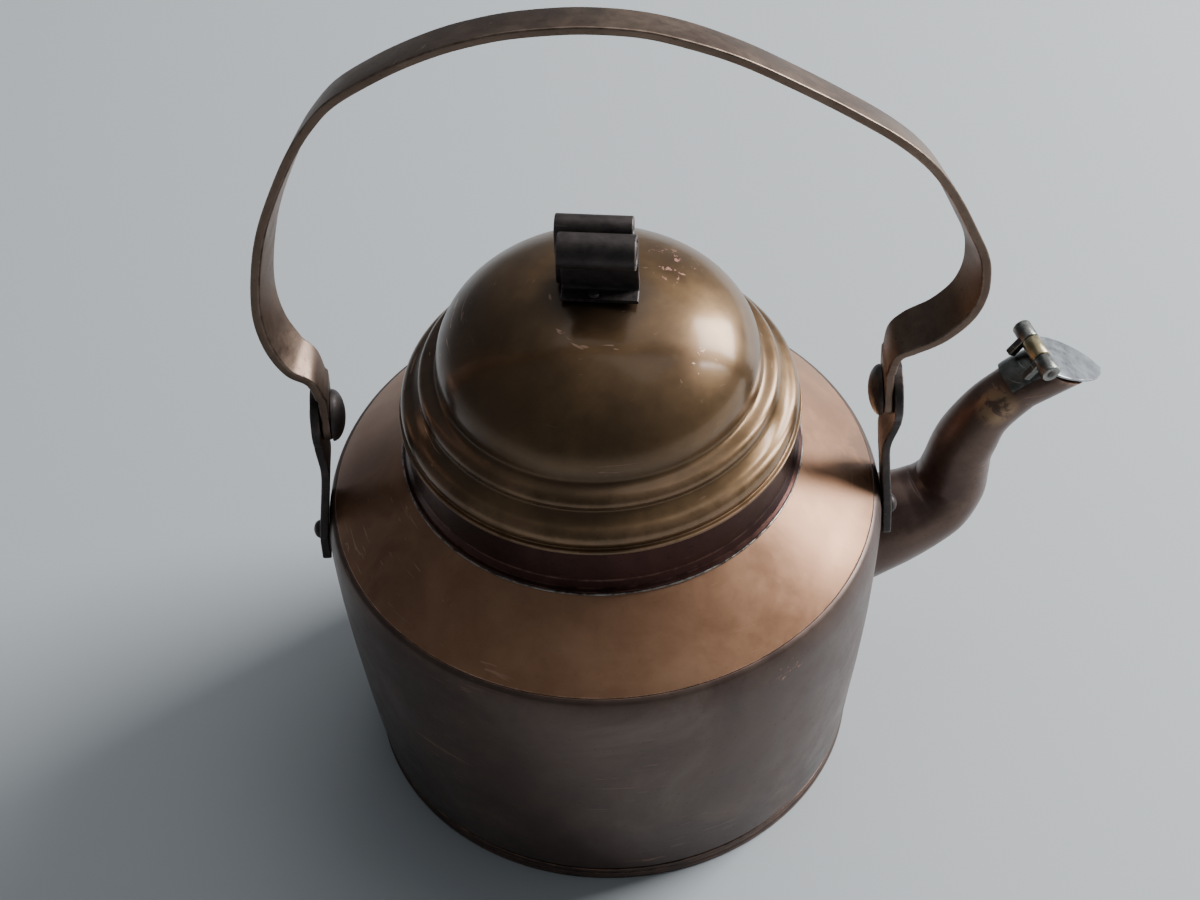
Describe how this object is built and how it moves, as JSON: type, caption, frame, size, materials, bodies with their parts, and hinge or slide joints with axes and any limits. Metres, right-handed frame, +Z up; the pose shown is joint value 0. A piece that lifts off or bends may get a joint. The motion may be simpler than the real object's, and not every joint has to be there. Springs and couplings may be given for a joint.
{
  "type": "kettle",
  "caption": "Squat copper kettle with a domed lid, scroll knob, hinged-flap spout and a swinging flat-strap bail handle.",
  "frame": {"origin": "centre of the base plate's underside, on the plane the kettle rests on", "axes": "+Z up; +X from the middle to the ear on the spout's side; the spout leaves 13 degrees towards +Y from +X"},
  "size_m": [0.3081, 0.2046, 0.343],
  "materials": {
    "aged_copper": "aged, dark brown copper with a soft sheen",
    "copper": "worn copper, satin",
    "brassy_copper": "aged, olive-brown, satin",
    "black_iron": "blackened, worn iron",
    "tinned_sheet": "dull tinned sheet"
  },
  "bodies": {
    "kettle": {"body_wall": "aged_copper", "base_plate": "aged_copper", "shoulder": "copper", "neck_collar": "aged_copper", "spout": "aged_copper", "spout_hinge_saddle": "aged_copper", "flap_hinge_pin": "black_iron", "ear_strap_left": "black_iron", "ear_strap_right": "black_iron", "ear_rivet_left": "black_iron", "ear_rivet_right": "black_iron", "ear_burr_left": "aged_copper", "ear_burr_right": "aged_copper", "pivot_rivet_left": "black_iron", "pivot_rivet_right": "black_iron"},
    "bail": {"bail": "black_iron"},
    "lid": {"lid_cover": "brassy_copper", "lid_bezel": "brassy_copper", "knob_scroll_front": "black_iron", "knob_scroll_back": "black_iron", "knob_rivet_front": "black_iron", "knob_rivet_back": "black_iron"},
    "flap": {"spout_flap": "tinned_sheet"}
  },
  "joints": [
    {"name": "bail_swing", "type": "hinge", "parent": "kettle", "child": "bail", "pos_m": [0, 0, 0.164], "axis": [1, 0, 0], "range_deg": [-100, 100]},
    {"name": "lid_lift", "type": "slide", "parent": "kettle", "child": "lid", "axis": [0, 0, 1], "range_m": [0, 0.06]},
    {"name": "flap_swing", "type": "hinge", "parent": "kettle", "child": "flap", "pos_m": [0.16255, 0.03753, 0.14208], "axis": [0.3338, -0.9392, -0.0798], "range_deg": [0, 110]}
  ]
}
